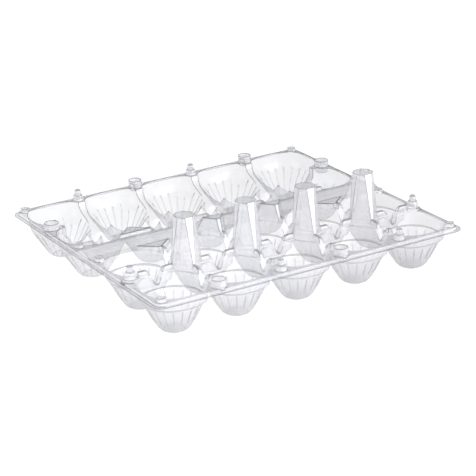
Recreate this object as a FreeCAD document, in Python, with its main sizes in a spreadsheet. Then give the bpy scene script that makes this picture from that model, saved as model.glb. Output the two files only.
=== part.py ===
import FreeCAD, Part
import math
import os
from FreeCAD import Placement, Rotation, Vector

# Ten-egg carton, thermoformed in one sheet of clear plastic: a base tray with cups and
# centre posts, and a lid that swings on a crease along the tray's back edge.
# The carton lies open and flat. X runs along the crease, the tray is on the -Y side, the
# lid on the +Y side, and the feet of the cups stand on Z = 0.

DIMENSIONS = [
    # name, value in millimetres, what it is
    ("columns", 5, "cups along the carton"),
    ("cup_pitch", 47.0, "between neighbouring cups, both ways"),
    ("hinge_margin", 35.0, "crease to the centres of the nearest cups"),
    ("front_margin", 27.0, "centres of the outer cups to the long lip edge"),
    ("end_margin", 26.4, "centres of the end cups to the short lip edge"),
    ("wall", 0.4, "thickness of the formed sheet"),
    ("lip_height", 28.7, "underside of the outer lip above the table"),
    ("lip_width", 2.6, "outer lip, outside the raised rim"),
    ("corner_radius", 8.0, "outer corners of the lip"),
    ("rim_rise", 2.4, "top of the raised rim above the lip's underside"),
    ("mouth_half", 21.5, "half the width of a cup's squarish mouth"),
    ("mouth_chamfer", 11.8, "cut corners of the mouth"),
    ("mouth_draft", 0.4, "narrowing of the mouth down to its step"),
    ("dome_mouth_half", 22.4, "half the width of a mouth in the lid"),
    ("dome_mouth_chamfer", 12.4, "cut corners of a mouth in the lid"),
    ("dome_latch_chamfer", 9.5, "cut corners of a mouth in the lid, beside the front latches"),
    ("dome_mouth_draft", 1.7, "narrowing of a mouth in the lid down to its step"),
    ("step_drop", 6.8, "step under the mouth, below the lip's underside"),
    ("cup_radius", 20.3, "fluted wall just under the step"),
    ("belly_drop", 15.0, "where the fluted wall starts to curve in"),
    ("belly_radius", 16.6, "fluted wall at that height"),
    ("heel_drop", 24.4, "where the wall turns under"),
    ("heel_radius", 11.4, "fluted wall at that height"),
    ("foot_radius", 6.6, "flat foot of the cup"),
    ("flutes", 20, "flats round a cup"),
    ("crease_rise", 5.6, "hinge crease above the lip's underside"),
    ("ridge_half", 5.0, "half the width of the ridge that carries the crease"),
    ("crease_gap", 0.1, "half the slit that stands for the scored crease"),
    ("post_rise", 38.6, "top of a centre post above the lip's underside"),
    ("post_top_reach", 6.7, "post axis to its flats, at the top"),
    ("post_top_facet", 2.8, "half the width of a narrow flat, at the top"),
    ("post_foot_reach", 12.0, "post axis to its narrow flats, at the foot"),
    ("post_foot_facet", 0.45, "half the width of a narrow flat, at the foot"),
    ("fin_rise", 7.0, "web between the cups, beside a post"),
    ("fin_thickness", 3.4, "web between the cups"),
    ("notch_drop", 4.7, "floor of the notch in a web"),
    ("notch_floor_half", 1.9, "half the length of that floor"),
    ("notch_top_half", 4.5, "half the length of the notch at the top of the web"),
    ("pillar_rise", 14.2, "top of a hinge-side pillar"),
    ("pillar_back", 13.0, "crease to the back edge of a pillar's top"),
    ("pillar_front", 21.0, "crease to the front edge of a pillar's top"),
    ("pillar_back_half", 8.0, "half the width of that back edge"),
    ("pillar_front_half", 1.7, "half the width of that front edge"),
    ("pillar_flare", 4.2, "spread of a pillar down to the rim"),
    ("pad_rise", 5.2, "top of a triangular spacer pad"),
    ("pad_back", 12.0, "crease to the back edge of a pad"),
    ("pad_back_half", 13.5, "half the width of that back edge"),
    ("pad_front", 24.3, "crease to the tip of a pad"),
    ("pad_front_half", 1.2, "half the width of the tip"),
    ("pad_draft", 0.7, "narrowing of a pad to its top"),
    ("button_rise", 5.2, "top of a corner spacer button"),
    ("button_radius", 3.4, "corner spacer button"),
    ("button_inset", 7.7, "corner button to the lip edges"),
    ("hinge_button_offset", 15.5, "crease to the buttons beside it"),
    ("latch_inset", 7.8, "pegs and sockets to the long lip edge"),
    ("side_latch_inset", 8.1, "pegs and sockets to the short lip edge"),
    ("peg_rise", 10.4, "tip of a front peg"),
    ("side_peg_rise", 12.8, "tip of a side peg"),
    ("peg_foot_radius", 4.2, "peg at the rim"),
    ("peg_tip_radius", 2.4, "peg at its tip"),
    ("socket_rise", 7.8, "lip of a socket"),
    ("socket_radius", 5.0, "outside of a socket"),
    ("bore_radius", 4.25, "inside of a socket"),
    ("side_socket_rise", 6.9, "lip of a side socket"),
    ("side_socket_radius", 5.3, "outside of a side socket"),
    ("side_bore_radius", 4.6, "inside of a side socket"),
    ("side_bore_drop", 2.6, "floor of a side socket, below the lip's underside"),
    ("crest_end_drop", 3.6, "ends of the lid's dividers"),
    ("crest_drop", 14.0, "middle of the lid's dividers"),
    ("crest_slope_reach", 7.5, "end of the slope from the middle of the lid"),
    ("seat_mouth_radius", 12.6, "seat for a post's tip, at the rim"),
    ("seat_floor_radius", 8.3, "seat for a post's tip, at its floor"),
    ("seat_swing", 5.4, "extra reach of a seat away from the crease, for the lid's swing"),
    ("closing_clearance", 0.8, "room round a pillar inside the closed lid"),
    ("pillar_swing", 1.2, "extra width round a pillar, for the lid's swing"),
]

doc = FreeCAD.newDocument("egg_carton")
sheet = doc.addObject("Spreadsheet::Sheet", "dimensions")
for row, (name, value, meaning) in enumerate(DIMENSIONS, start=1):
    sheet.set("A%d" % row, name)
    sheet.set("B%d" % row, str(value))
    sheet.set("C%d" % row, meaning)
    sheet.setAlias("B%d" % row, name)
doc.recompute()


def size(name):
    """A driving dimension, read from the sheet."""
    return float(sheet.get(name))


COLUMNS = int(size("columns"))
FLUTES = int(size("flutes"))
PITCH = size("cup_pitch")
WALL = size("wall")
LIP_Z = size("lip_height")
RIM_Z = LIP_Z + size("rim_rise")
CREASE_Z = LIP_Z + size("crease_rise")
BELOW = -5.0                       # underside of the blocks that the sheet is cut from
COLUMN_X = [(k - (COLUMNS - 1) / 2) * PITCH for k in range(COLUMNS)]
DIVIDER_X = [(a + b) / 2 for a, b in zip(COLUMN_X, COLUMN_X[1:])]
INNER_DIVIDERS = DIVIDER_X[1:-1]
OUTER_DIVIDERS = [DIVIDER_X[0], DIVIDER_X[-1]]
NEAR_ROW = size("hinge_margin")
FAR_ROW = NEAR_ROW + PITCH
POST_ROW = (NEAR_ROW + FAR_ROW) / 2
HALF_LENGTH = COLUMN_X[-1] + size("end_margin")
DEPTH = FAR_ROW + size("front_margin")
MOUTH = size("mouth_half")
LATCH_ROW = DEPTH - size("latch_inset")
SIDE_LATCH_X = HALF_LENGTH - size("side_latch_inset")
TRAY, LID = -1, 1                  # the side of the crease on which a half lies
CORNER_FLATS = 4                   # flats round a corner of the lip
BOSS_FLATS = 12                    # flats round a peg or a socket
BUTTON_FLATS = 10                  # flats round a corner button


# Shapes. Each one is asked for twice: with skin 0 it bounds the sheet from above, and with
# skin = WALL it is that much smaller (or a hollow that much larger), and bounds it from below.

def polyhedron(rings):
    """A closed solid through rings of equally many corners, listed from bottom to top."""
    faces = [Part.Face(Part.makePolygon(ring + ring[:1])) for ring in (rings[0], rings[-1])]
    for low, high in zip(rings, rings[1:]):
        for k in range(len(low)):
            a, b = low[k], low[(k + 1) % len(low)]
            c, d = high[(k + 1) % len(low)], high[k]
            normal = (b - a).cross(d - a)
            if abs((c - a).dot(normal)) < 1e-6 * normal.Length:
                faces.append(Part.Face(Part.makePolygon([a, b, c, d, a])))
            else:
                faces.append(Part.Face(Part.makePolygon([a, b, c, a])))
                faces.append(Part.Face(Part.makePolygon([a, c, d, a])))
    solid = Part.Solid(Part.makeShell(faces))
    if solid.Volume < 0:
        solid.reverse()
    return solid


def cut_square(x, y, z, half, cuts):
    """A square with cut corners, round (x, y); the four cuts go round from the +X +Y corner."""
    a, b, c, d = [half - cut for cut in cuts]
    corners = [(half, -d), (half, a), (a, half), (-b, half),
               (-half, b), (-half, -c), (-c, -half), (d, -half)]
    return [Vector(x + u, y + v, z) for u, v in corners]


def flat_ring(x, y, z, radius, sides):
    """The corners of a regular polygon round (x, y)."""
    turns = [2 * math.pi * (k + 0.5) / sides for k in range(sides)]
    return [Vector(x + radius * math.cos(t), y + radius * math.sin(t), z) for t in turns]


def trapezium(x, side, z, back, front, back_half, front_half):
    """Four corners between two distances from the crease, on one side of it."""
    corners = [(-back_half, back), (back_half, back), (front_half, front), (-front_half, front)]
    return [Vector(x + u, side * v, z) for u, v in corners]


def is_socket(side, k):
    """Whether the k-th front latch of a half is a socket; the halves carry opposite ones."""
    return (k % 2 == 0) == (side == TRAY)


def peg_columns(side):
    """Where the front pegs of a half stand along X."""
    return [x for k, x in enumerate(DIVIDER_X) if not is_socket(side, k)]


def mouth_cuts(side, column, row):
    """The cut corners of one mouth, from its +X +Y corner round."""
    if side == TRAY:
        return [size("mouth_chamfer")] * 4
    cuts = [size("dome_mouth_chamfer")] * 4
    if row == FAR_ROW:
        if column < COLUMNS - 1:
            cuts[0] = size("dome_latch_chamfer")
        if column > 0:
            cuts[1] = size("dome_latch_chamfer")
    return cuts


def cup_mouths(side, skin):
    """The squarish mouths of one half's cups, from above the rim down to the step."""
    top_half = MOUTH if side == TRAY else size("dome_mouth_half")
    draft = size("mouth_draft") if side == TRAY else size("dome_mouth_draft")
    above = size("pillar_rise") if side == TRAY else size("pad_rise")
    levels = [(LIP_Z - size("step_drop") - skin, top_half - draft), (RIM_Z, top_half),
              (LIP_Z + above + 1, top_half)]
    diagonal = 2 * skin - math.sqrt(2) * skin
    shapes = []
    for column, x in enumerate(COLUMN_X):
        for row in (NEAR_ROW, FAR_ROW):
            cuts = [cut + diagonal for cut in mouth_cuts(side, column, row)]
            shapes.append(polyhedron([cut_square(x, side * row, z, half + skin, cuts)
                                      for z, half in levels]))
    return shapes


def cup_walls(side, skin):
    """The round fluted walls of one half's cups, from the step down to the foot."""
    shapes = []
    profile = [(size("step_drop"), size("cup_radius")), (size("belly_drop"), size("belly_radius")),
               (size("heel_drop"), size("heel_radius"))]
    for x in COLUMN_X:
        for row in (NEAR_ROW, FAR_ROW):
            y = side * row
            rings = [flat_ring(x, y, WALL - skin, size("foot_radius") + skin / 2, FLUTES)]
            for drop, radius in reversed(profile):
                rings.append(flat_ring(x, y, LIP_Z - drop - skin / 2, radius + skin, FLUTES))
            shapes.append(polyhedron(rings))
    return shapes


def posts(skin):
    """The centre posts of the tray: eight flats, the four narrow ones closing to a point."""
    shapes = []
    reach_slope = (size("post_foot_reach") - size("post_top_reach")) / size("post_rise")
    facet_slope = (size("post_top_facet") - size("post_foot_facet")) / size("post_rise")
    for x in DIVIDER_X:
        rings = []
        for drop in (size("post_rise") + skin, skin):
            reach = size("post_top_reach") + reach_slope * drop - skin
            facet = size("post_top_facet") - facet_slope * drop - (math.sqrt(2) - 1) * skin
            z = LIP_Z + size("post_rise") - drop
            cuts = [reach - max(facet, 0.05)] * 4
            rings.append(cut_square(x, TRAY * POST_ROW, z, reach, cuts))
        shapes.append(polyhedron(rings))
    return shapes


def pillars(skin):
    """The pillars of the tray beside the hinge, on the inner dividers."""
    shapes = []
    rise = size("pillar_rise") - size("rim_rise")
    for x in INNER_DIVIDERS:
        rings = []
        for drop in (rise + WALL + skin, skin):
            spread = size("pillar_flare") * drop / rise - skin
            z = LIP_Z + size("pillar_rise") - drop
            rings.append(trapezium(x, TRAY, z, size("pillar_back") - spread,
                                   size("pillar_front") + spread,
                                   size("pillar_back_half") + spread - skin / 2,
                                   size("pillar_front_half") - 0.2 * spread - skin / 2))
        shapes.append(polyhedron(rings))
    return shapes


def pillar_pockets(skin):
    """The hollows of the lid that the tray's pillars enter when it closes."""
    shapes = []
    room = size("closing_clearance")
    meeting = 2 * size("crease_rise")
    flare = size("pillar_flare") / (size("pillar_rise") - size("rim_rise"))
    floor = meeting - size("pillar_rise") - room
    for x in INNER_DIVIDERS:
        rings = []
        for level in (floor - skin, size("rim_rise") + 1):
            spread = flare * (level - floor) + room + skin
            rings.append(trapezium(x, LID, LIP_Z + level, size("pillar_back") - spread,
                                   size("pillar_front") + spread + 2 * size("pillar_swing"),
                                   size("pillar_back_half") + spread + size("pillar_swing"),
                                   size("pillar_front_half") + room + skin + size("pillar_swing")))
        shapes.append(polyhedron(rings))
    return shapes


def pads(side, dividers, skin):
    """Triangular spacer pads between the cups, beside the hinge."""
    shapes = []
    for x in dividers:
        rings = []
        for z, inset in ((RIM_Z - WALL - skin, skin),
                         (LIP_Z + size("pad_rise") - skin, size("pad_draft") + skin)):
            rings.append(trapezium(x, side, z, size("pad_back") + inset,
                                   size("pad_front") - 2 * inset,
                                   size("pad_back_half") - 2 * inset,
                                   size("pad_front_half") - inset / 4))
        shapes.append(polyhedron(rings))
    return shapes


def seats(skin):
    """The hollows of the lid that take the posts; they are longer away from the crease."""
    shapes = []
    for x in DIVIDER_X:
        rings = []
        for z, radius, swing in ((WALL - skin, size("seat_floor_radius"), size("seat_swing") / 4),
                                 (RIM_Z + 1, size("seat_mouth_radius"), size("seat_swing"))):
            ring = flat_ring(x, POST_ROW, z, radius + skin, 8)
            stretch = 1 + swing / radius
            rings.append([Vector(p.x, POST_ROW + max(p.y - POST_ROW, 0) * stretch
                                 + min(p.y - POST_ROW, 0), z) for p in ring])
        shapes.append(polyhedron(rings))
    return shapes


def outline_prism(points, direction):
    """A prism from an outline and the vector that it is drawn out along."""
    face = Part.Face(Part.makePolygon(points + points[:1]))
    return face.extrude(direction)


def ridge(side, skin):
    """The ridge along the back edge, from the flat rim up to the crease."""
    half_run = HALF_LENGTH - size("lip_width") - skin
    tilt = math.atan2(size("crease_rise") - size("rim_rise"), size("ridge_half"))
    drop = skin / math.cos(tilt)
    end = size("crease_gap") if skin == 0 else -1.0
    top = CREASE_Z - drop - max(end, 0) * math.tan(tilt)
    outline = [Vector(-half_run, side * end, BELOW - skin), Vector(-half_run, side * end, top)]
    foot = size("ridge_half") + skin * math.tan(tilt / 2)
    outline.append(Vector(-half_run, side * foot, RIM_Z - skin))
    outline.append(Vector(-half_run, side * foot, BELOW - skin))
    return [outline_prism(outline, Vector(2 * half_run, 0, 0))]


def notches(skin):
    """The notches in the tray's webs, half way between neighbouring posts."""
    top_z = LIP_Z + size("fin_rise")
    floor_z = LIP_Z - size("notch_drop")
    lean = (size("notch_top_half") - size("notch_floor_half")) / (top_z - floor_z)
    low = size("notch_floor_half") + skin
    high = low + lean * (top_z + 2 - floor_z)
    reach = PITCH / 2 - MOUTH + size("mouth_draft") + 1 + skin
    shapes = []
    for x in COLUMN_X:
        y = TRAY * POST_ROW - reach
        outline = [Vector(x - low, y, floor_z - skin), Vector(x + low, y, floor_z - skin),
                   Vector(x + high, y, top_z + 2), Vector(x - high, y, top_z + 2)]
        shapes.append(outline_prism(outline, Vector(0, 2 * reach, 0)))
    for x in DIVIDER_X:
        for row in (NEAR_ROW, FAR_ROW):
            y = TRAY * row
            start = x - reach
            outline = [Vector(start, y - low, floor_z - skin), Vector(start, y + low, floor_z - skin),
                       Vector(start, y + high, top_z + 2), Vector(start, y - high, top_z + 2)]
            shapes.append(outline_prism(outline, Vector(2 * reach, 0, 0)))
    return shapes


def cross_crests(skin):
    """What lowers the lid's dividers between columns: they slope from the rim to the seats."""
    end_z = LIP_Z - size("crest_end_drop") - skin
    floor_z = LIP_Z - size("crest_drop") - skin
    top_z = RIM_Z + 1
    reach = PITCH / 2 - size("belly_radius") + 1.4
    near = NEAR_ROW - (MOUTH - size("mouth_chamfer")) + 1
    far = FAR_ROW + size("dome_mouth_half") - size("dome_latch_chamfer") - 1
    slope_end = size("crest_slope_reach")
    points = [(near - skin, top_z), (near - skin, end_z), (POST_ROW - slope_end, floor_z),
              (POST_ROW + slope_end, floor_z), (far + skin, end_z), (far + skin, top_z)]
    shapes = []
    for x in DIVIDER_X:
        outline = [Vector(x - reach, LID * v, z) for v, z in points]
        shapes.append(outline_prism(outline, Vector(2 * reach, 0, 0)))
    return shapes


def long_crest(skin):
    """What lowers the lid's divider between its two rows."""
    end_z = LIP_Z - size("crest_end_drop") - skin
    floor_z = LIP_Z - size("crest_drop") - skin
    top_z = RIM_Z + 1
    reach = PITCH / 2 - size("belly_radius") + 1.4
    last = COLUMN_X[-1]
    run = last + (MOUTH - size("mouth_chamfer")) - 1
    points = [(-run - skin, top_z), (-run - skin, end_z), (-last - 2, floor_z),
              (last + 2, floor_z), (run + skin, end_z), (run + skin, top_z)]
    outline = [Vector(u, LID * POST_ROW - reach, z) for u, z in points]
    return [outline_prism(outline, Vector(0, 2 * reach, 0))]


# Document objects. Primitives are bound to the sheet by expressions, and the shapes above
# are held by features whose Shape is set from the sheet's values.

def bind(obj, **expressions):
    """Bind properties of an object to the sheet; names in the text are sheet aliases."""
    for prop, text in expressions.items():
        path = {"x": "Placement.Base.x", "y": "Placement.Base.y", "z": "Placement.Base.z"}
        obj.setExpression(path.get(prop, prop), text)
    return obj


def alias(text):
    """Turn the aliases in an expression into references to the sheet."""
    for name, _, _ in DIMENSIONS:
        text = text.replace("{" + name + "}", "dimensions." + name)
    return text


def features(name, shapes):
    """Features that hold the shapes worked out above, one each."""
    objects = []
    for k, shape in enumerate(shapes):
        obj = doc.addObject("Part::Feature", "%s_%d" % (name, k))
        obj.Shape = shape
        objects.append(obj)
    return objects


HALF_LENGTH_TEXT = "(({columns} - 1) / 2 * {cup_pitch} + {end_margin})"
DEPTH_TEXT = "({hinge_margin} + {cup_pitch} + {front_margin})"


def column_text(k):
    """Where column k stands along X."""
    return "((%g - ({columns} - 1) / 2) * {cup_pitch})" % k


def prism(name, side, x_text, row_text, foot_text, height_text, radius_text, sides):
    """An upright prism with many flats, bound to the sheet."""
    obj = doc.addObject("Part::Prism", name)
    obj.Polygon = sides
    return bind(obj, Circumradius=alias(radius_text), Height=alias(height_text),
                x=alias(x_text), y=alias("%d * %s" % (side, row_text)), z=alias(foot_text))


def boss(name, side, x_text, row_text, rise_text, radius_text, skin, sides):
    """A round boss that stands on the rim."""
    foot = "({lip_height} + {rim_rise} - {wall} - %g)" % skin
    return prism(name, side, x_text, row_text, foot,
                 "{lip_height} + %s - %g - %s" % (rise_text, skin, foot),
                 "%s - %g" % (radius_text, skin), sides)


def bore(name, side, x_text, row_text, radius_text, floor_text, skin):
    """The hollow of a socket, from its floor up through its lip."""
    floor = "({lip_height} + %s - %g)" % (floor_text, skin)
    return prism(name, side, x_text, row_text, floor,
                 "{lip_height} + {socket_rise} + 1 - %s" % floor,
                 "%s + %g" % (radius_text, skin), BOSS_FLATS)


def plate(side, near, half, far, radius, low, top):
    """An upright block from the crease out to two rounded corners."""
    points = [Vector(-half, side * near, low)]
    for centre, start in ((-half + radius, math.pi), (half - radius, math.pi / 2)):
        for k in range(CORNER_FLATS + 1):
            turn = start - k * math.pi / 2 / CORNER_FLATS
            points.append(Vector(centre + radius * math.cos(turn),
                                 side * (far - radius + radius * math.sin(turn)), low))
    points.append(Vector(half, side * near, low))
    return [outline_prism(points, Vector(0, 0, top - low))]


def lip_block(side, skin):
    """The block under the outer lip, with the carton's outline; its back is open at the edges."""
    spare = 5.0 if skin else 0.0
    near = -spare if skin else size("crease_gap")
    return plate(side, near, HALF_LENGTH + spare, DEPTH + spare, size("corner_radius"),
                 BELOW - skin, LIP_Z + WALL - skin)


def rim_block(side, skin):
    """The block under the raised rim, inside the lip."""
    inset = size("lip_width") + skin
    near = -1.0 if skin else size("crease_gap")
    return plate(side, near, HALF_LENGTH - inset, DEPTH - inset, size("corner_radius") - inset,
                 BELOW - skin, RIM_Z - skin)


def pegs(side, skin):
    """The pegs of one half: tapered, with a narrower tip."""
    spots = [(x, LATCH_ROW, size("peg_rise")) for x in peg_columns(side)]
    if side == TRAY:
        spots += [(end * SIDE_LATCH_X, POST_ROW, size("side_peg_rise")) for end in (-1, 1)]
    shapes = []
    for x, row, rise in spots:
        tip = LIP_Z + rise - skin
        levels = [(RIM_Z - WALL - skin, size("peg_foot_radius")),
                  (tip - size("peg_tip_radius") / 3, size("peg_tip_radius") + 0.3),
                  (tip, size("peg_tip_radius") - 0.5)]
        shapes.append(polyhedron([flat_ring(x, side * row, z, radius - skin, BOSS_FLATS)
                                  for z, radius in levels]))
    return shapes


def fins(skin):
    """The webs that join the tray's posts, along and across the carton."""
    objects = []
    margin = "%g" % skin
    row_text = "({hinge_margin} + {cup_pitch} / 2)"
    reach_text = "(({columns} - 1) / 2 * {cup_pitch} + {mouth_half} - {mouth_chamfer} + 3 - %s)" % margin
    tall = alias("{fin_rise} + {wall}")
    foot = alias("{lip_height} - {wall} - %s" % margin)
    long_fin = doc.addObject("Part::Box", "web_along_%s" % ("skin" if skin else "form"))
    bind(long_fin, Length=alias("2 * " + reach_text), Width=alias("{fin_thickness} - 2 * " + margin),
         Height=tall, x=alias("-" + reach_text),
         y=alias("-%s - {fin_thickness} / 2 + %s" % (row_text, margin)), z=foot)
    objects.append(long_fin)
    cross_reach = "({cup_pitch} / 2 + {mouth_half} - {mouth_chamfer} - 1 - %s)" % margin
    for k in range(COLUMNS - 1):
        fin = doc.addObject("Part::Box", "web_across_%s_%d" % ("skin" if skin else "form", k))
        bind(fin, Length=alias("{fin_thickness} - 2 * " + margin), Width=alias("2 * " + cross_reach),
             Height=tall, x=alias("%s - {fin_thickness} / 2 + %s" % (column_text(k + 0.5), margin)),
             y=alias("-%s - %s" % (row_text, cross_reach)), z=foot)
        objects.append(fin)
    return objects


def buttons(side, tag, skin):
    """The four corner spacer buttons of one half."""
    objects = []
    for end in (-1, 1):
        x_text = "%d * (%s - {button_inset})" % (end, HALF_LENGTH_TEXT)
        rows = ["(%s - {button_inset})" % DEPTH_TEXT, "{hinge_button_offset}"]
        for n, row_text in enumerate(rows):
            name = "button_%s_%s_%d" % (tag, "left" if end < 0 else "right", n)
            objects.append(boss(name, side, x_text, row_text, "{button_rise}",
                                "{button_radius}", skin, BUTTON_FLATS))
    return objects


def sockets(side, tag, skin):
    """The sockets of one half: rings that stand on the rim, and the bores inside them."""
    rings, bores = [], []
    front_text = "(%s - {latch_inset})" % DEPTH_TEXT
    post_text = "({hinge_margin} + {cup_pitch} / 2)"
    front = ("{socket_rise}", "{socket_radius}", "{bore_radius}", "{wall}")
    beside = ("{side_socket_rise}", "{side_socket_radius}", "{side_bore_radius}",
              "{wall} - {side_bore_drop}")
    spots = [(column_text(k + 0.5), front_text, front)
             for k in range(COLUMNS - 1) if is_socket(side, k)]
    if side == LID:
        for end in (-1, 1):
            x_text = "%d * (%s - {side_latch_inset})" % (end, HALF_LENGTH_TEXT)
            spots.append((x_text, post_text, beside))
    for k, (x_text, row_text, (rise, outer, inner, floor)) in enumerate(spots):
        rings.append(boss("socket_%s_%d" % (tag, k), side, x_text, row_text, rise, outer, skin,
                          BOSS_FLATS))
        bores.append(bore("bore_%s_%d" % (tag, k), side, x_text, row_text, inner, floor, skin))
    return rings, bores


def mass_under(side, tag, skin):
    """All that lies under one face of the sheet: under its top if skin is 0, else under its back."""
    rings, bores = sockets(side, tag, skin)
    raised = features("lip_" + tag, lip_block(side, skin))
    raised += features("rim_" + tag, rim_block(side, skin))
    raised += features("ridge_" + tag, ridge(side, skin))
    raised += features("pads_" + tag, pads(side, OUTER_DIVIDERS, skin))
    raised += features("pegs_" + tag, pegs(side, skin)) + rings + buttons(side, tag, skin)
    hollow = features("mouths_" + tag, cup_mouths(side, skin))
    hollow += features("walls_" + tag, cup_walls(side, skin)) + bores
    if side == TRAY:
        raised += features("posts_" + tag, posts(skin)) + fins(skin)
        raised += features("pillars_" + tag, pillars(skin))
        hollow += features("notches_" + tag, notches(skin))
    else:
        hollow += features("seats_" + tag, seats(skin)) + features("pockets_" + tag, pillar_pockets(skin))
        hollow += features("cross_crests_" + tag, cross_crests(skin))
        hollow += features("long_crest_" + tag, long_crest(skin))
    above = doc.addObject("Part::MultiFuse", "raised_" + tag)
    above.Shapes = raised
    below = doc.addObject("Part::MultiFuse", "hollow_" + tag)
    below.Shapes = hollow
    mass = doc.addObject("Part::Cut", "mass_" + tag)
    mass.Base, mass.Tool = above, below
    return mass


def formed_half(label, side):
    """One half of the carton: the sheet between its two faces."""
    half = doc.addObject("Part::Cut", label)
    half.Base = mass_under(side, label + "_top", 0.0)
    half.Tool = mass_under(side, label + "_back", WALL)
    half.Label = label
    return half


parts = [formed_half("base_tray", TRAY), formed_half("lid", LID)]
doc.recompute()

for obj in doc.Objects:
    if "Invalid" in obj.State or "Error" in obj.State:
        raise RuntimeError("%s failed to build: %s" % (obj.Name, obj.State))
for part in parts:
    if part.Shape.isNull() or not part.Shape.isValid() or len(part.Shape.Solids) != 1:
        raise RuntimeError("%s is not one valid solid" % part.Label)

os.makedirs("parts", exist_ok=True)
for part in parts:
    part.Shape.exportStep(os.path.join("parts", part.Label + ".step"))
    bounds = part.Shape.BoundBox
    print(part.Label, "volume", round(part.Shape.Volume, 1), "solids", len(part.Shape.Solids),
          "box", [round(v, 2) for v in (bounds.XMin, bounds.YMin, bounds.ZMin,
                                        bounds.XMax, bounds.YMax, bounds.ZMax)])
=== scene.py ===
"""A clear ten-egg carton lying open: a tray of fluted cups with posts, and a lid of domes."""
import math

import bmesh
import bpy
from mathutils import Matrix, Vector


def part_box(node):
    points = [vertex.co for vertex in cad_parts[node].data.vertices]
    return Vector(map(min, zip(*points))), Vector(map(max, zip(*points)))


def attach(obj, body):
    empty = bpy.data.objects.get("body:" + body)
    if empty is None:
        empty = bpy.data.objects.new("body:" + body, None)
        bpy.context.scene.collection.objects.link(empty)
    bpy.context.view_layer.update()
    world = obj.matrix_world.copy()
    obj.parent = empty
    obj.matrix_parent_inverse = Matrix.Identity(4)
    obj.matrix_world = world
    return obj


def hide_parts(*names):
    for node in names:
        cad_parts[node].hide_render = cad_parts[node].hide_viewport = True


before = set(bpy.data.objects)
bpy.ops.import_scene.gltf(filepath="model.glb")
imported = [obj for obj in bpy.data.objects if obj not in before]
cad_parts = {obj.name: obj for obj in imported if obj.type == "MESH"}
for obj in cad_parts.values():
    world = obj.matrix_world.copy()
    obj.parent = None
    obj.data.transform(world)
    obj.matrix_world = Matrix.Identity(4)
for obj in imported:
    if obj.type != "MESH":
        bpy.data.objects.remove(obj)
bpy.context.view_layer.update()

# Sizes in millimetres. Heights count from the underside of the carton's outer lip.
MM = 0.001
low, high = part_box("base_tray")
HALF_LENGTH = high.x / MM
DEPTH = -low.y / MM
POST_TOP = 38.6                        # tops of the centre posts
LIP = high.z / MM - POST_TOP           # the lip's own height over the table
WALL = 0.4                             # thickness of the formed sheet
PITCH = 47.0                           # from one egg to the next
COLUMNS = [(k - 2) * PITCH for k in range(5)]
DIVIDERS = [(k - 1.5) * PITCH for k in range(4)]
ROWS = [35.0, 35.0 + PITCH]            # the two rows of eggs, from the crease
POST_ROW = sum(ROWS) / 2
RIM = 2.4                              # top of the raised rim
LIP_WIDTH = 2.6                        # the flat lip outside the rim
LIP_CORNER = 8.0                       # radius of the lip's corners
UNDER = -LIP - 5.0                     # bottom of the block that the sheet is skinned from
CUP_FOOT = WALL - LIP                  # inside floor of a cup
CUP_SIDES, SEAT_SIDES, FITTING_SIDES = 120, 40, 32
RIB_TURN = 18                          # degrees from one rib of a cup to the next
DOME_RIB_HEAD, DOME_RIB_FOOT = -9.0, -22.5

# Fittings: where they stand from the edges, how high they rise and how wide they are.
BUTTON_INSET, BUTTON_FROM_CREASE = 7.7, 15.5
LATCH_INSET, SIDE_LATCH_INSET = 7.8, 8.1
PEG_TIP, PEG_FOOT = 10.4, 4.9
SIDE_PEG_TIP, SIDE_PEG_FOOT = 12.8, 6.6
SOCKET_RISE, SOCKET_RADIUS, SOCKET_BORE = 7.8, 5.0, 4.25
SIDE_SOCKET_RISE, SIDE_SOCKET_RADIUS, SIDE_SOCKET_BORE = 6.9, 5.3, 4.6
SIDE_SOCKET_FLOOR = WALL - 2.6

# Bends: the width of the strip beside one, and how far the sheet turns before it counts.
STRIP = 0.24
BEND_ANGLE = math.radians(17)
FITTING_ANGLE = math.radians(26)
LEVEL_ANGLE = math.radians(38)
EASED_ANGLE = math.radians(52)
SEAT_ANGLE = math.radians(100)

TRAY, LID = -1, 1                      # which side of the crease a half lies on
# After the wall come the painted finishes: dark shade lines at bends, softer shade lines at
# ribs, shade on level tops, and a sheen on the posts' front faces.
WALL_SLOT, BEND_SHADE_SLOT, RIB_SHADE_SLOT, TOP_SHADE_SLOT, SHEEN_SLOT = range(5)


# Modelling helpers

def deselect():
    """Nothing stays selected and nothing is being edited."""
    if bpy.context.object and bpy.context.object.mode != "OBJECT":
        bpy.ops.object.mode_set(mode="OBJECT")
    bpy.ops.object.select_all(action="DESELECT")


def spot(x, y, z):
    """A place given in millimetres, with its height from the lip."""
    return Vector((x * MM, y * MM, (z + LIP) * MM))


def named(name):
    """Name the piece that was just added, and settle its place into its mesh."""
    obj = bpy.context.object
    obj.name = name
    bpy.ops.object.transform_apply(location=True, rotation=True, scale=True)
    return obj


def block(name, x, y, z):
    """A cuboid over three ranges."""
    deselect()
    middle = spot(sum(x) / 2, sum(y) / 2, sum(z) / 2)
    spans = [abs(b - a) * MM for a, b in (x, y, z)]
    bpy.ops.mesh.primitive_cube_add(size=1, location=middle, scale=spans)
    return named(name)


def disc(name, x, y, z, radius, sides):
    """A flat round face, ready to be drawn up into a turned shape."""
    deselect()
    bpy.ops.mesh.primitive_circle_add(vertices=sides, radius=radius * MM, fill_type="NGON",
                                      location=spot(x, y, z))
    return named(name)


def edit(obj):
    """Open a piece for editing."""
    deselect()
    bpy.context.view_layer.objects.active = obj
    obj.select_set(True)
    bpy.ops.object.mode_set(mode="EDIT")


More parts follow.
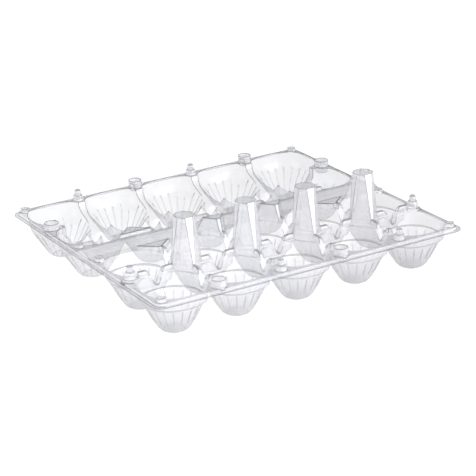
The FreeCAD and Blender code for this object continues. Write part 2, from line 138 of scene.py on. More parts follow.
def choose(kind, test):
    """Select the open piece's parts that pass a test on their middle and their direction."""
    bpy.ops.mesh.select_mode(type=kind)
    bpy.ops.mesh.select_all(action="DESELECT")
    mesh = bpy.context.edit_object.data
    shape = bmesh.from_edit_mesh(mesh)
    groups = {"VERT": shape.verts, "EDGE": shape.edges, "FACE": shape.faces}
    for item in groups[kind]:
        corners = [item] if kind == "VERT" else list(item.verts)
        middle = sum((v.co for v in corners), Vector()) / len(corners)
        if kind == "EDGE":
            way = (corners[1].co - corners[0].co).normalized()
        else:
            way = item.normal
        if test(Vector((middle.x / MM, middle.y / MM, middle.z / MM - LIP)), way):
            item.select_set(True)
    shape.select_flush_mode()
    bmesh.update_edit_mesh(mesh)


def close_up():
    """Turn the open piece's faces outwards and stop editing it."""
    bpy.ops.mesh.select_all(action="SELECT")
    bpy.ops.mesh.normals_make_consistent(inside=False)
    deselect()


def round_edges(obj, width, steps, test):
    """Bevel the edges that pass a test."""
    edit(obj)
    choose("EDGE", test)
    bpy.ops.mesh.bevel(offset=width * MM, segments=steps, affect="EDGES")
    deselect()


def draw_up(obj, centre, rings):
    """Draw a flat face up through rings of (height, size); it starts as the first ring."""
    edit(obj)
    bpy.ops.mesh.select_all(action="SELECT")
    height, size = rings[0]
    for next_height, next_size in rings[1:]:
        move = (0, 0, (next_height - height) * MM)
        bpy.ops.mesh.extrude_region_move(TRANSFORM_OT_translate={"value": move})
        ratio = next_size / size
        bpy.ops.transform.resize(value=(ratio, ratio, 1), center_override=spot(*centre, 0))
        height, size = next_height, next_size
    close_up()
    return obj


def turned(name, x, y, rings, sides):
    """A round solid through rings of (height, radius), from the bottom up."""
    obj = disc(name, x, y, *rings[0], sides)
    return draw_up(obj, (x, y), rings)


def copies(obj, places):
    """Copies of a piece, moved by (x, y) in millimetres; the piece itself goes away."""
    made = []
    for x, y in places:
        deselect()
        bpy.context.view_layer.objects.active = obj
        obj.select_set(True)
        bpy.ops.object.duplicate(linked=False)
        copy = bpy.context.object
        copy.location = (x * MM, y * MM, 0)
        bpy.ops.object.transform_apply(location=True, rotation=False, scale=False)
        made.append(copy)
    bpy.data.objects.remove(obj)
    return made


def combine(body, tools, how):
    """Add or cut away solids, one after another."""
    for tool in tools:
        deselect()
        bpy.context.view_layer.objects.active = body
        body.select_set(True)
        step = body.modifiers.new("shape", "BOOLEAN")
        step.operation = how
        step.solver = "MANIFOLD"
        step.object = tool
        bpy.ops.object.modifier_apply(modifier=step.name)
        bpy.data.objects.remove(tool)
    return body


# The solids that raise the sheet or hollow it

def reshape(obj, place_of):
    """Move a piece's corners in edit mode; place_of gives (x, y, z), in millimetres, or None."""
    edit(obj)
    mesh = bpy.context.edit_object.data
    shape = bmesh.from_edit_mesh(mesh)
    for corner in shape.verts:
        x, y, z = corner.co
        moved = place_of(x / MM, y / MM, z / MM - LIP)
        if moved:
            corner.co = spot(*moved)
    bmesh.update_edit_mesh(mesh)
    deselect()
    return obj


def squared(obj, x, y, low, full, corners):
    """Swell a round solid towards a rounded square, fully so above a height."""
    def place_of(px, py, z):
        u, v = px - x, py - y
        angle = math.atan2(v, u)
        share = min(max((z - low) / (full - low), 0.0), 1.0)
        power = 2.0 + (corners(u, v) - 2.0) * share * share * (3 - 2 * share)
        grow = (abs(math.cos(angle)) ** power + abs(math.sin(angle)) ** power) ** (-1 / power)
        return x + u * grow, y + v * grow, z

    return reshape(obj, place_of)


def ribbed(obj, x, y, head, foot):
    """Press twenty narrow ribs into a round wall, from head down to foot."""
    # The corners at these turns from the start of a rib take a new turn and share of radius.
    moves = {3: (4.0, 1.0), 6: (4.9, 0.974), 9: (7.1, 0.974), 12: (8.0, 1.0)}

    def place_of(px, py, z):
        u, v = px - x, py - y
        angle = math.degrees(math.atan2(v, u)) % 360
        turn = round(angle % RIB_TURN) % RIB_TURN
        if turn not in moves:
            return None
        new_turn, depth = moves[turn]
        reach = math.hypot(u, v) * (depth if foot < z < head else 1.0)
        angle = math.radians(angle - angle % RIB_TURN + new_turn)
        return x + reach * math.cos(angle), y + reach * math.sin(angle), z

    return reshape(obj, place_of)


def bowl_solid(x, y, side):
    """What fills a cup's round bowl, with narrow ribs pressed into its wall."""
    rings = [(CUP_FOOT, 4.6), (WALL + 0.4 - LIP, 7.0), (-26.7, 9.2), (-25.0, 10.9),
             (-22.0, 12.7), (-20.0, 13.9)]
    if side == TRAY:
        rings += [(-17.0, 15.6), (-10.6, 18.85), (-8.6, 19.7), (-6.9, 20.3), (-4.0, 20.6)]
        rib_head, rib_foot = -10.5, -17.5
    else:
        rings += [(-17.0, 15.9), (-14.0, 17.8), (-12.0, 19.1), (-10.2, 19.9), (-8.5, 20.3),
                  (-4.0, 20.6)]
        rib_head, rib_foot = DOME_RIB_HEAD, DOME_RIB_FOOT
    return ribbed(turned("bowl", x, y, rings, CUP_SIDES), x, y, rib_head, rib_foot)


def mouth_solid(x, y):
    """What fills a tray cup's squarish mouth, down to the step over the bowl."""
    rings = [(-6.9, 20.95), (-4.0, 21.05), (0.0, 21.1), (RIM - 0.45, 21.4), (RIM + 0.55, 22.3)]
    mouth = turned("mouth", x, y, rings, CUP_SIDES)
    return squared(mouth, x, y, -12.0, -8.0, lambda u, v: 2.45)


def dome_mouth(x, y, latch_corners=()):
    """What fills a lid dome's upper part, square at the rim and easing into the round bowl."""
    rings = [(-14.0, 16.6), (-12.0, 18.7), (-10.2, 20.1), (-8.5, 20.8), (-6.0, 21.4),
             (-3.0, 21.8), (0.0, 22.05), (RIM - 0.5, 22.3), (RIM - 0.1, 22.5),
             (RIM + 0.3, 22.8), (RIM + 3.5, 23.0)]
    mouth = turned("mouth", x, y, rings, CUP_SIDES)
    ribbed(mouth, x, y, DOME_RIB_HEAD, DOME_RIB_FOOT)

    def corners(u, v):
        ends = (1 if u > 0 else -1, 1 if v > 0 else -1)
        return 3.1 if ends in latch_corners else 2.4

    return squared(mouth, x, y, -14.5, -4.0, corners)


def post_solid(x):
    """A centre post: a tall tapered diamond with its corners cut flat."""
    y = -POST_ROW
    post = turned("post", x, y, [(0.0, 12.45), (POST_TOP, 9.5)], 4)
    edit(post)
    foot_reach, top_reach = 12.0, 6.7
    lean = (foot_reach - top_reach) / POST_TOP
    for dx, dy in ((1, 0), (-1, 0), (0, 1), (0, -1)):
        bpy.ops.mesh.select_all(action="SELECT")
        bpy.ops.mesh.bisect(plane_co=spot(x + dx * foot_reach, y + dy * foot_reach, 0),
                            plane_no=Vector((dx, dy, lean)).normalized(),
                            use_fill=True, clear_outer=True)
    close_up()
    return post


def peg_solid(x, y, tip, foot):
    """A knobbed peg on a flared foot."""
    rings = [(1.0, foot), (2.6, foot - 0.75), (3.7, 3.0 + foot * 0.2), (tip - 5.0, 3.55),
             (tip - 4.3, 3.25), (tip - 3.8, 2.6), (tip - 1.5, 2.45), (tip - 0.5, 2.0),
             (tip, 1.0)]
    return turned("peg", x, y, rings, FITTING_SIDES)


def button_solid(x, y):
    """A low round spacer button."""
    rings = [(1.0, 3.9), (2.5, 3.7), (3.0, 3.4), (4.7, 3.25), (5.05, 3.05), (5.2, 2.6)]
    return turned("button", x, y, rings, FITTING_SIDES)


def socket_solid(x, y, rise, radius):
    """The outside of a socket."""
    rings = [(1.0, radius + 0.5), (RIM + 0.6, radius + 0.2), (rise - 0.5, radius - 0.05),
             (rise - 0.15, radius - 0.15), (rise, radius - 0.35)]
    return turned("socket", x, y, rings, FITTING_SIDES)


def bore_solid(x, y, rise, radius, floor):
    """The inside of a socket."""
    rings = [(floor, radius - 0.5), (floor + 0.4, radius), (rise - 0.3, radius + 0.02),
             (rise + 0.3, radius + 0.4)]
    return turned("bore", x, y, rings, FITTING_SIDES)


def wedge(name, x, side, z_low, z_high, low_plan, high_plan, edge=0.4):
    """A trapezium drawn up; a plan gives where its back and front lie and their half widths."""
    obj = block(name, (x - 1, x + 1), (side * 1, side * 2), (z_low, z_high))

    def place_of(px, py, z):
        back, front, back_half, front_half = high_plan if z > (z_low + z_high) / 2 else low_plan
        at_back = abs(py) < 1.5
        half_width = back_half if at_back else front_half
        return (x - half_width if px < x else x + half_width,
                side * (back if at_back else front), z)

    reshape(obj, place_of)
    edit(obj)
    close_up()
    if edge:
        round_edges(obj, edge, 2, lambda middle, way: middle.z > z_low + 0.2)
    return obj


def plate(name, side, inset, top, radius):
    """A block from the crease out to the rounded outer corners."""
    x = HALF_LENGTH - inset
    y = DEPTH - inset
    obj = block(name, (-x, x), (side * 0.1, side * y), (UNDER, top))
    round_edges(obj, radius, 6, lambda middle, way: abs(way.z) > 0.6 and abs(middle.y) > 50)
    return obj


def rim_ring(side):
    """The raised rim with a softened outer step."""
    rim = plate("rim", side, LIP_WIDTH, RIM, LIP_CORNER - LIP_WIDTH)
    round_edges(rim, 0.55, 5, lambda middle, way: middle.z > RIM - 0.1 and abs(middle.y) > 0.2)
    return rim


def prism(name, outline, start, end, along_y, steps=1):
    """A solid drawn from an outline of (run, height), from start to end across it."""
    deselect()
    mesh = bpy.data.meshes.new(name)
    shape = bmesh.new()
    corners = []
    for run, height in outline:
        place = spot(start, run, height) if along_y else spot(run, start, height)
        corners.append(shape.verts.new(place))
    shape.faces.new(corners)
    shape.to_mesh(mesh)
    shape.free()
    obj = bpy.data.objects.new(name, mesh)
    bpy.context.scene.collection.objects.link(obj)
    edit(obj)
    bpy.ops.mesh.select_all(action="SELECT")
    step = (end - start) * MM / steps
    move = (step, 0, 0) if along_y else (0, step, 0)
    for _ in range(steps):
        bpy.ops.mesh.extrude_region_move(TRANSFORM_OT_translate={"value": move})
    close_up()
    return obj


def crest_solid(outline, centre, along_y):
    """What lowers a divider of the lid to a softly arched crest."""
    crest = prism("crest", outline, centre - 8.0, centre + 8.0, along_y, steps=10)

    def place_of(px, py, z):
        across = (px if along_y else py) - centre
        return (px, py, z - 0.05 * across * across) if z < 3.5 else None

    return reshape(crest, place_of)


def ridge_solid(side):
    """The soft ridge that rises to the crease."""
    run = HALF_LENGTH - LIP_WIDTH - 0.3
    crease_rise, width = 3.13, 12.3
    outline = [(side * 0.1, UNDER), (side * 0.1, RIM + crease_rise), (side * 0.9, RIM + 3.05)]
    for step in range(2, 11):
        y = step * 1.2
        rise = crease_rise * math.cos(math.pi / 2 * (y - 0.1) / width) ** 2
        outline.append((side * y, RIM - 0.02 + rise))
    outline.append((side * width, UNDER))
    return prism("ridge", outline, -run, run, True)


def web_solid(centre, start, end, along_y):
    """A thin upright web with a rounded top; it runs along its length from start to end."""
    outline = [(-1.7, -1.0), (-1.55, 3.5), (-1.3, 5.4), (-0.95, 6.5), (-0.45, 7.0),
               (0.45, 7.0), (0.95, 6.5), (1.3, 5.4), (1.55, 3.5), (1.7, -1.0)]
    shifted = [(centre + across, height) for across, height in outline]
    return prism("web", shifted, start, end, not along_y)


def notch_solid(x, y, along_x):
    """A notch in a web: a deep V with a narrow round floor and eased shoulders."""
    half = [(0.0, -4.75), (0.7, -4.6), (1.3, -4.1), (1.75, -3.2), (5.1, 4.6), (5.6, 5.6),
            (6.4, 6.4), (7.6, 6.9), (9.0, 7.1), (9.0, 9.0)]
    middle = x if along_x else y
    outline = [(middle - u, z) for u, z in reversed(half[1:])]
    outline += [(middle + u, z) for u, z in half]
    across = y if along_x else x
    return prism("notch", outline, across - 3.4, across + 3.4, not along_x)


def seat_solid(x):
    """What hollows the lid's seat for a post."""
    rings = [(CUP_FOOT, 7.6), (WALL + 0.8 - LIP, 8.3), (-14.0, 10.6), (RIM + 1.0, 12.6)]
    seat = turned("seat", x, POST_ROW, rings, SEAT_SIDES)

    def place_of(px, py, z):
        if py < POST_ROW + 0.1:
            return None
        share = (z + 1.0) / (LIP + RIM)
        return px, py + (py - POST_ROW) * 0.42 * min(max(share, 0.1), 1), z

    return reshape(seat, place_of)


# The narrow strips beside the bends

def from_divider(middle):
    """How far a place is from the nearest line between two columns."""
    return min(abs(middle.x - x) for x in DIVIDERS)


def from_cup(middle, side):
    """Where a place lies from the middle of the nearest cup."""
    column = min(COLUMNS, key=lambda x: abs(x - middle.x))
    row = min(ROWS, key=lambda y: abs(side * middle.y - y))
    return middle.x - column, middle.y - side * row


def near_fitting(middle, height, side):
    """Whether a place belongs to a peg, socket or button."""
    y = side * middle.y
    at_end = abs(middle.x) > HALF_LENGTH - 13
    beside = at_end and (y < 20 or abs(y - POST_ROW) < 6 or y > DEPTH - 12)
    beside = beside or (from_divider(middle) < 6 and y > DEPTH - 13)
    return beside and height > RIM + 0.3


def near_seat(middle):
    """Whether a place is by one of the lid's seats for the posts."""
    return math.hypot(from_divider(middle), middle.y - POST_ROW) < 14.5


def near_post(middle, height, side):
    """Whether a place is at the foot of a post."""
    reach = from_divider(middle) + abs(middle.y + POST_ROW)
    return side == TRAY and reach < 13 and height < RIM + 0.9


def least_angle(middle, height, rise, side):
    """How far the sheet has to turn at an edge before the edge counts as a bend."""
    if near_fitting(middle, height, side):
        return FITTING_ANGLE
    if -1 < height < RIM + 0.1 and rise < 0.3:
        return LEVEL_ANGLE
    if side == LID and height < -3 and near_seat(middle):
        return SEAT_ANGLE
    if side == LID and -14.5 < height < -2.0 and rise < 0.75:
        return EASED_ANGLE
    return EASED_ANGLE if near_post(middle, height, side) else BEND_ANGLE


def split_at_bends(mesh, side):
    """Part the open sheet's faces along every bend."""
    choose("EDGE", lambda middle, way: False)
    for edge in bmesh.from_edit_mesh(mesh).edges:
        first, second = (corner.co for corner in edge.verts)
        middle = (first + second) / 2 / MM
        rise = abs(first.z - second.z) / edge.calc_length()
        least = least_angle(middle, middle.z - LIP, rise, side)
        if edge.calc_face_angle() > least and abs(middle.y) > 0.6:
            edge.select_set(True)
    bmesh.update_edit_mesh(mesh)
    bpy.ops.mesh.edge_split(type="EDGE")


def choose_wide_panels(mesh):
    """Select the panels between the bends that are wide enough to take a strip."""
    choose("FACE", lambda middle, way: False)
    shape = bmesh.from_edit_mesh(mesh)
    seen = set()
    for start in shape.faces:
        if start in seen:
            continue
        panel, edge_run, area = [start], 0.0, 0.0
        seen.add(start)
        for face in panel:
            area += face.calc_area()
            for edge in face.edges:
                if edge.is_boundary:
                    edge_run += edge.calc_length()
                for other in edge.link_faces:
                    if other not in seen:
                        seen.add(other)
                        panel.append(other)
        if edge_run == 0 or area / edge_run > 1.2 * STRIP * MM:
            for face in panel:
                face.select_set(True)
    bmesh.update_edit_mesh(mesh)


def refinish(body, old, new, test):
    """Give another finish to the open sheet's faces of one finish that pass a test."""
    choose("FACE", lambda middle, way: False)
    mesh = body.data
    for face in bmesh.from_edit_mesh(mesh).faces:
        middle = face.calc_center_median() / MM
        middle.z -= LIP
        if face.material_index == old and test(middle, face.normal):
            face.select_set(True)
    bmesh.update_edit_mesh(mesh)
    body.active_material_index = new
    bpy.ops.object.material_slot_assign()


def score_bends(body, side):
    """Lay a narrow strip on both sides of every bend, and give each place its finish: painted
    shade lines on the strips, painted shade on level tops and a painted sheen on the posts'
    front faces.
    """
    edit(body)
    split_at_bends(body.data, side)
    choose_wide_panels(body.data)
    bpy.ops.mesh.inset(thickness=STRIP * MM, depth=0, use_even_offset=False)
    # The strips take dark painted shade lines, standing in for the dark reflections and
    # refraction at a clear sheet's bends.
    bpy.ops.mesh.select_all(action="INVERT")
    body.active_material_index = BEND_SHADE_SLOT
    bpy.ops.object.material_slot_assign()
    rib_head, rib_reach = (-9.5, 19.8) if side == TRAY else (-8.3, 20.9)

    def reach(middle):
        return math.hypot(*from_cup(middle, side))

    def rib(middle, way):
        return reach(middle) < rib_reach and -24 < middle.z < rib_head

    # The lit flank of each rib keeps the wall finish, and the other flank takes painted shade;
    # which flank is which depends on the way it faces.
    def lit_rib_flank(middle, way):
        u, v = from_cup(middle, side)
        return rib(middle, way) and way.y * u - way.x * v > -0.15 * math.hypot(u, v)

    def fitting(middle, way):
        return near_fitting(middle, middle.z, side) and middle.z < RIM + 7

    def mouth(middle, way):
        return -0.8 < middle.z < RIM + 0.6 and 19 < reach(middle) < 25.5

    def foot_of_mouth(middle, way):
        return -10.5 < middle.z < -4 and reach(middle) > 19

    # Level tops get their own painted shade, for how light falls on faces that look up.
    def shaded_level_top(middle, way):
        return abs(way.z) > 0.99 and middle.z > RIM + 1.0 and abs(middle.y) > 1

    # The posts' front faces take a painted sheen: a whiter, denser finish standing in for the
    # reflection of the studio light.
    def sheen_post_front(middle, way):
        ahead = -14 < middle.y + POST_ROW < -2
        return from_divider(middle) < 7 and ahead and middle.z > RIM + 2 and way.y < -0.95

    # Painted light and shade on the strips: each rib gets a lit flank and a shaded flank, and
    # the fittings and the feet of the tray's mouths get the softer painted rib shade.
    refinish(body, BEND_SHADE_SLOT, WALL_SLOT, lit_rib_flank)
    refinish(body, BEND_SHADE_SLOT, RIB_SHADE_SLOT, rib)
    refinish(body, BEND_SHADE_SLOT, RIB_SHADE_SLOT, fitting)
    if side == TRAY:
        refinish(body, BEND_SHADE_SLOT, RIB_SHADE_SLOT, foot_of_mouth)
        # The strips at the tray's mouth rims take the tops' painted shade instead of the darker
        # bend lines.
        refinish(body, BEND_SHADE_SLOT, TOP_SHADE_SLOT, mouth)
    # Painted shade on the level tops.
    refinish(body, WALL_SLOT, TOP_SHADE_SLOT, shaded_level_top)
    if side == TRAY:
        # Painted sheen on the posts' front faces.
        refinish(body, WALL_SLOT, SHEEN_SLOT, sheen_post_front)
    bpy.ops.mesh.select_all(action="SELECT")
    bpy.ops.mesh.remove_doubles(threshold=0.000001)
    deselect()


# The two halves

def formed_sheet(name, side):
    """Keep a half's upper skin, give it the sheet's thickness and finish its bends."""
    body = half(side)
    body.name = name
    edit(body)
    choose("VERT", lambda middle, way: middle.z < UNDER + 0.5)
    bpy.ops.mesh.delete(type="VERT")
    bpy.ops.mesh.select_all(action="SELECT")
    bpy.ops.mesh.quads_convert_to_tris(quad_method="BEAUTY", ngon_method="BEAUTY")
    bpy.ops.mesh.remove_doubles(threshold=0.00003)
    deselect()
    bpy.context.view_layer.objects.active = body
    body.select_set(True)
    wall = body.modifiers.new("wall", "SOLIDIFY")
    wall.thickness = WALL * MM
    wall.offset = -1
    bpy.ops.object.modifier_apply(modifier=wall.name)
    body.data.materials.clear()
    wall_finish = TRAY_FINISH if side == TRAY else LID_FINISH
    # In the order of the slots' numbers.
    for look in (wall_finish, BEND_SHADE_FINISH, RIB_SHADE_FINISH, TOP_SHADE_FINISH, SHEEN_FINISH):
        body.data.materials.append(look)
    score_bends(body, side)
    bpy.context.view_layer.objects.active = body
    body.select_set(True)
    bpy.ops.object.shade_smooth_by_angle(angle=math.radians(100))
    soft = body.modifiers.new("soft bends", "WEIGHTED_NORMAL")
    soft.keep_sharp = True
    soft.weight = 50
    bpy.ops.object.modifier_apply(modifier=soft.name)
    body.visible_shadow = False
    deselect()
    return body


def cups(side):
    """What hollows a half's cups or domes."""
    places = [(k * PITCH, side * r * PITCH) for k in range(5) for r in range(2)]
    hollow = copies(bowl_solid(COLUMNS[0], side * ROWS[0], side), places)
    if side == TRAY:
        return hollow + copies(mouth_solid(COLUMNS[0], -ROWS[0]), places)
    first_mouth = dome_mouth(COLUMNS[0], ROWS[0])
    for x in COLUMNS:
        beside = [(a, 1) for a in (-1, 1) if abs(x + a * 20) < 100]
        hollow.append(dome_mouth(x, ROWS[1], beside))
    return hollow + copies(first_mouth, places[::2])


def fittings(side):
    """What raises a half's buttons, pegs and sockets, and what hollows the sockets."""
    raised, hollow = [], []
    button_x = HALF_LENGTH - BUTTON_INSET
    for x in (-button_x, button_x):
        for y in (side * (DEPTH - BUTTON_INSET), side * BUTTON_FROM_CREASE):
            raised.append(button_solid(x, y))
    y = side * (DEPTH - LATCH_INSET)
    for k, x in enumerate(DIVIDERS):
        if (k % 2 == 0) == (side == TRAY):
            raised.append(socket_solid(x, y, SOCKET_RISE, SOCKET_RADIUS))
            hollow.append(bore_solid(x, y, SOCKET_RISE, SOCKET_BORE, WALL))
        else:
            raised.append(peg_solid(x, y, PEG_TIP, PEG_FOOT))
    end_x = HALF_LENGTH - SIDE_LATCH_INSET
    y = side * POST_ROW
    for x in (-end_x, end_x):
        if side == TRAY:
            raised.append(peg_solid(x, y, SIDE_PEG_TIP, SIDE_PEG_FOOT))
        else:
            raised.append(socket_solid(x, y, SIDE_SOCKET_RISE, SIDE_SOCKET_RADIUS))
            hollow.append(bore_solid(x, y, SIDE_SOCKET_RISE, SIDE_SOCKET_BORE,
                                     SIDE_SOCKET_FLOOR))
    return raised, hollow


def tray_middle():
    """What raises the tray's posts, pillars and webs, and what notches the webs."""
    raised = [post_solid(x) for x in DIVIDERS]
    for x in DIVIDERS[1:3]:
        raised.append(wedge("pillar", x, TRAY, 1.5, 14.2, (8.5, 25.5, 12.4, 0.9),
                            (13.0, 21.0, 8.0, 1.7)))
    raised.append(web_solid(-POST_ROW, -106.7, 106.7, False))
    for x in DIVIDERS:
        raised.append(web_solid(x, -POST_ROW - 32.2, -POST_ROW + 32.2, True))
    hollow = [notch_solid(x, -POST_ROW, True) for x in COLUMNS]
    hollow += [notch_solid(x, -row, False) for x in DIVIDERS for row in ROWS]
    return raised, hollow


def lid_middle():
    """What lowers the lid's dividers and hollows its seats and pockets."""
    hollow = []
    across = [(24.9, 4.0), (25.3, 2.2), (26.0, -0.5), (27.4, -3.0), (29.9, -5.0),
              (51.0, -14.0), (66.0, -14.0), (90.3, -5.0), (92.8, -3.0), (94.4, -0.5),
              (95.4, 2.2), (96.0, 4.0)]
    for x in DIVIDERS:
        hollow.append(crest_solid(across, x, True))
        hollow.append(seat_solid(x))
    along = [(-102.7, 4.0), (-102.7, -3.6), (-96.0, -14.0), (96.0, -14.0), (102.7, -3.6),
             (102.7, 4.0)]
    hollow.append(crest_solid(along, POST_ROW, False))
    for x in DIVIDERS[1:3]:
        hollow.append(wedge("pocket", x, LID, -3.8, 3.4, (12.2, 24.2, 10.0, 3.7),
                            (9.4, 26.9, 12.6, 3.7), edge=0))
    return hollow


def half(side):
    """One half of the carton, as the block that its sheet is skinned from."""
    body = plate("half", side, 0.0, WALL, LIP_CORNER)
    raised = [rim_ring(side), ridge_solid(side)]
    hollow = cups(side)
    more_raised, more_hollow = fittings(side)
    raised += more_raised
    hollow += more_hollow
    for x in (DIVIDERS[0], DIVIDERS[3]):
        raised.append(wedge("pad", x, side, 1.5, 5.2, (12.0, 24.3, 13.5, 1.2),
                            (12.7, 22.9, 12.1, 1.0)))
    if side == TRAY:
        more_raised, more_hollow = tray_middle()
        raised += more_raised
        hollow += more_hollow
    else:
        hollow += lid_middle()
    combine(body, raised, "UNION")
    combine(body, hollow, "DIFFERENCE")
    return body


# Materials

class Wire:
    """A node socket that can be added, multiplied and so on."""

    def __init__(self, tree, socket):
        self.tree = tree
        self.socket = socket

    def node(self, kind, settings=None, **values):
        """Add a node; settings come first, then the values or wires of its inputs."""
        made = self.tree.nodes.new(kind)
        for name, value in (settings or {}).items():
            setattr(made, name, value)
        for name, value in values.items():
            key = int(name[1:]) if name[0] == "_" else name.replace("_", " ")
            if isinstance(value, Wire):
                self.tree.links.new(value.socket, made.inputs[key])
            else:
                made.inputs[key].default_value = value
        return made

    def out(self, kind, settings=None, output=0, **values):
        """Add a node and take the wire from one of its outputs."""
        return Wire(self.tree, self.node(kind, settings, **values).outputs[output])

    def maths(self, operation, a, b=0.0):
        """Add a Math node over two values or wires."""
        return self.out("ShaderNodeMath", {"operation": operation}, _0=a, _1=b)

    def __add__(self, other):
        return self.maths("ADD", self, other)

    def __radd__(self, other):
        return self.maths("ADD", other, self)

    def __sub__(self, other):
        return self.maths("SUBTRACT", self, other)

    def __rsub__(self, other):
        return self.maths("SUBTRACT", other, self)

    def __mul__(self, other):
        return self.maths("MULTIPLY", self, other)

    def __rmul__(self, other):
        return self.maths("MULTIPLY", other, self)

    def __pow__(self, other):
        return self.maths("POWER", self, other)


def new_material(name):
    """An empty node material, and the wire of an object's own places to start from."""
    material = bpy.data.materials.new(name)
    material.use_nodes = True
    tree = material.node_tree
    tree.nodes.clear()
    place = tree.nodes.new("ShaderNodeTexCoord")
    return material, Wire(tree, place.outputs["Object"])


def shaded(material, skin):
    """Give a material its shader."""
    tree = material.node_tree
    end = tree.nodes.new("ShaderNodeOutputMaterial")
    tree.links.new(skin.outputs[0], end.inputs[0])
    return material


def ramp(value, start, end):
    """A smooth change from 0 at start to 1 at end."""
    return value.out("ShaderNodeMapRange", {"interpolation_type": "SMOOTHSTEP"}, Value=value,
                     From_Min=start, From_Max=end, To_Min=0.0, To_Max=1.0)


def clear_plastic(name, tone, density, edge_tone, edge_density, crease=0.0, depth=0.0):
    """Clear formed sheet: pale face on, and of edge_tone and edge_density where seen edge on.

    crease paints shade along the band by the fold (a negative crease paints it lighter), depth
    paints shade into the bottoms of the cups, and the sheet is painted a little darker and
    denser towards its +x end."""
    material, place = new_material(name)
    sway = place.out("ShaderNodeTexNoise", Vector=place, Scale=38.0, Detail=2.0, Roughness=0.5)
    haze = place.out("ShaderNodeTexNoise", Vector=place, Scale=110.0, Detail=3.0, Roughness=0.6)
    tint = place.out("ShaderNodeTexNoise", Vector=place, Scale=17.0, Detail=1.0)
    bump = place.out("ShaderNodeBump", Strength=0.2, Distance=0.0006, Height=sway)
    facing = place.out("ShaderNodeLayerWeight", output=1, Blend=0.5)
    edge_on = facing ** 4.0
    alpha = density * (0.9 + 0.2 * haze) + edge_on * (edge_density - density)
    shade = tone - edge_on * (tone - edge_tone)
    if crease or depth:
        across, along, height = (place.out("ShaderNodeSeparateXYZ", output=k, Vector=place)
                                 for k in range(3))
        # Painted shade: a band along the fold, the bottoms of the cups, and a little more
        # towards the +x end.
        band = ramp(along, 0.013, -0.010) * ramp(along, -0.030, -0.012)
        band = band * ramp(height, 0.017, 0.025) * (0.5 + haze)
        shadow = band * crease + ramp(height, 0.022, 0.006) * depth
        shadow = shadow + ramp(across, -0.09, 0.12) * 0.06
        shade = shade - shadow
        alpha = alpha + shadow * 0.8
    colour = place.out("ShaderNodeCombineColor", Red=shade * (0.96 + 0.07 * tint),
                       Green=shade * 0.995, Blue=shade * (1.06 - 0.04 * tint))
    skin = place.node("ShaderNodeBsdfPrincipled", Base_Color=colour, Roughness=0.2, IOR=1.5,
                      Alpha=alpha, Normal=bump)
    return shaded(material, skin)


def floor_finish():
    """A white light table with a faint unevenness."""
    material, place = new_material("white_floor")
    cloud = place.out("ShaderNodeTexNoise", Vector=place, Scale=1.5, Detail=2.0)
    tone = 0.30 + 0.02 * cloud
    colour = place.out("ShaderNodeCombineColor", Red=tone, Green=tone, Blue=tone)
    skin = place.node("ShaderNodeBsdfPrincipled", Base_Color=colour, Roughness=0.9,
                      Emission_Color=(1, 1, 1, 1), Emission_Strength=0.85)
    return shaded(material, skin)


# The tray and lid finishes carry clear_plastic's painted shade: the tray's crease paints its
# fold band darker and its depth shades the cup bottoms, while the lid's negative crease paints
# its band lighter.
TRAY_FINISH = clear_plastic("clear_tray", tone=0.60, density=0.30,
                            edge_tone=0.30, edge_density=0.62, crease=0.03, depth=0.09)
LID_FINISH = clear_plastic("clear_lid", tone=0.56, density=0.27,
                           edge_tone=0.35, edge_density=0.54, crease=-0.03)
# Dark painted shade lines along the bends, standing in for the dark reflections and refraction
# that clear sheet shows there.
BEND_SHADE_FINISH = clear_plastic("clear_bend_shade", tone=0.10, density=0.62,
                            edge_tone=0.10, edge_density=0.75)
# Softer painted shade lines for the shaded flanks of ribs, for the fittings and for the feet of
# the tray's mouths.
RIB_SHADE_FINISH = clear_plastic("clear_rib_shade", tone=0.22, density=0.52,
                           edge_tone=0.18, edge_density=0.70)
# Painted shade for level tops, and for the strips at the tray's mouth rims.
TOP_SHADE_FINISH = clear_plastic("clear_top_shade", tone=0.68, density=0.34,
                           edge_tone=0.50, edge_density=0.46)
# A painted sheen: a near-white, dense finish standing in for a lamp's reflection on the posts'
# front faces.
SHEEN_FINISH = clear_plastic("clear_facet_sheen", tone=0.95, density=0.60,
                             edge_tone=0.85, edge_density=0.70)


# The pieces

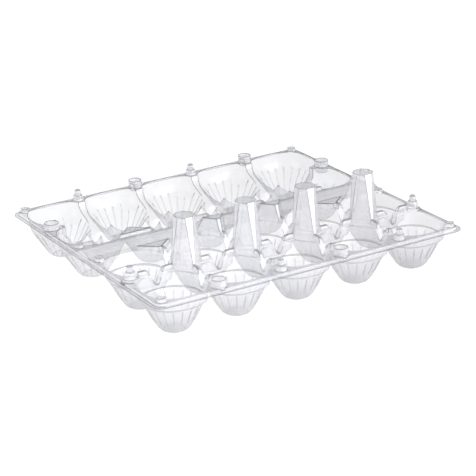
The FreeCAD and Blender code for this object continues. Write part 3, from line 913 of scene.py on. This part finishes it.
tray = formed_sheet("tray_sheet", TRAY)
lid = formed_sheet("lid_sheet", LID)
for piece, body, node in ((tray, "base", "base_tray"), (lid, "lid", "lid")):
    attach(piece, body)
    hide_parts(node)
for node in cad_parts.values():
    node.data.materials.clear()
    node.data.materials.append(TRAY_FINISH)


# Stage

AIM = Vector((0, 0, 0.02))             # where the lamps face
AZIMUTH, ELEVATION, ROLL = math.radians(-30.082), math.radians(21.019), math.radians(-2.276)
DISTANCE = 1.3261
LENS = 146.31


def lamp(name, place, size, watts):
    """A square soft light that faces the carton."""
    bpy.ops.object.light_add(type="AREA", location=place)
    light = bpy.context.object
    light.name = name
    light.data.size = size
    light.data.energy = watts
    light.rotation_euler = (AIM - Vector(place)).to_track_quat("-Z", "Y").to_euler()


deselect()
bpy.ops.mesh.primitive_plane_add(size=14, location=(0, 0, 0))
floor = bpy.context.object
floor.name = "floor"
floor.data.materials.append(floor_finish())
lamp("soft_front", (0.95, -2.3, 0.68), 1.4, 64)
lamp("soft_left", (-2.2, -0.2, 0.8), 1.6, 24)
lamp("soft_back", (-1.8, 1.9, 1.0), 1.4, 16)

world = bpy.data.worlds.new("studio")
bpy.context.scene.world = world
world.use_nodes = True
world.node_tree.nodes["Background"].inputs["Color"].default_value = (0.86, 0.87, 0.88, 1)
world.node_tree.nodes["Background"].inputs["Strength"].default_value = 0.45

target = Vector((-0.01345, -0.02933, LIP * MM))
back = Vector((math.sin(AZIMUTH) * math.cos(ELEVATION), -math.cos(AZIMUTH) * math.cos(ELEVATION),
               math.sin(ELEVATION)))
level = Vector((math.cos(AZIMUTH), math.sin(AZIMUTH), 0))
rise = back.cross(level)
right = level * math.cos(ROLL) + rise * math.sin(ROLL)
upward = rise * math.cos(ROLL) - level * math.sin(ROLL)
bpy.ops.object.camera_add(location=target + back * DISTANCE)
camera = bpy.context.object
camera.rotation_euler = Matrix((right, upward, back)).transposed().to_euler()
camera.data.sensor_width = 36
camera.data.lens = LENS
camera.data.clip_end = 60
scene = bpy.context.scene
scene.camera = camera
scene.view_settings.view_transform = "Standard"
scene.cycles.transparent_max_bounces = 48
scene.cycles.max_bounces = 10
